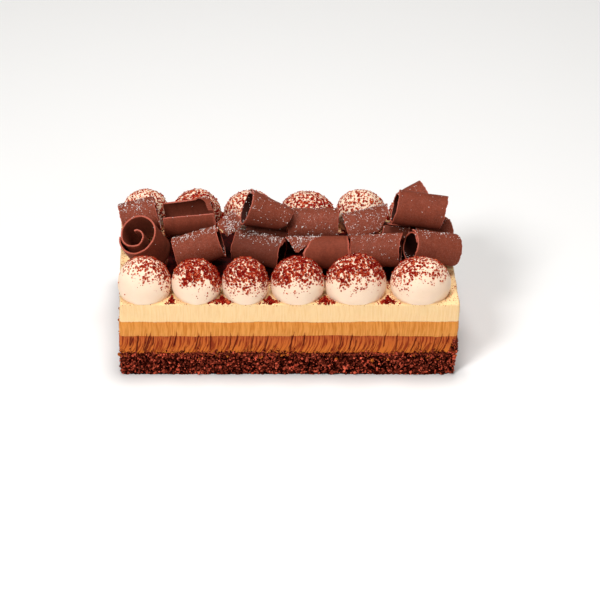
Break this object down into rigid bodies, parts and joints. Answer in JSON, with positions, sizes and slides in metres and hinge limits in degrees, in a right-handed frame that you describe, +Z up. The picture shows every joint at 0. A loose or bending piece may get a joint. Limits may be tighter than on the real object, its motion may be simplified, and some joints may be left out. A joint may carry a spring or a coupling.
{
  "type": "chocolate mousse cake",
  "caption": "Rectangular layered mousse cake on dark sponge, with cocoa-dusted piped cream domes along both long sides and a heap of rolled chocolate curls between them.",
  "frame": {"origin": "middle of the cake's flat underside", "axes": "+Z up out of the top of the cake, +X to the right along its long cut side, +Y from that side to the back"},
  "size_m": [0.21, 0.1004, 0.0963],
  "materials": {
    "sponge": "crumbly dark chocolate sponge, matte",
    "dark_mousse": "brown chocolate mousse, cut with a knife, satin",
    "milk_mousse": "caramel-coloured mousse, cut with a knife, satin",
    "white_mousse": "pale ivory mousse, smooth, satin",
    "cream": "smooth piped cream dusted with cocoa powder",
    "chocolate": "rolled dark chocolate with a faint bloom and a dusting of sugar"
  },
  "bodies": {
    "root": {"sponge": "sponge", "dark_mousse": "dark_mousse", "milk_mousse": "milk_mousse", "white_mousse": "white_mousse", "dome_front_1": "cream", "dome_front_2": "cream", "dome_front_3": "cream", "dome_front_4": "cream", "dome_front_5": "cream", "dome_front_6": "cream", "dome_back_1": "cream", "dome_back_2": "cream", "dome_back_3": "cream", "dome_back_4": "cream", "dome_back_5": "cream", "dome_back_6": "cream", "curl_low_1": "chocolate", "curl_low_2": "chocolate", "curl_low_3": "chocolate", "curl_low_4": "chocolate", "curl_front_1": "chocolate", "curl_front_2": "chocolate", "curl_front_3": "chocolate", "curl_front_4": "chocolate", "curl_front_5": "chocolate", "flake_front": "chocolate", "curl_scroll": "chocolate", "curl_back_1": "chocolate", "curl_back_2": "chocolate", "curl_top_1": "chocolate", "curl_top_2": "chocolate", "curl_top_3": "chocolate", "flake_left": "chocolate", "flake_back": "chocolate"}
  },
  "joints": []
}
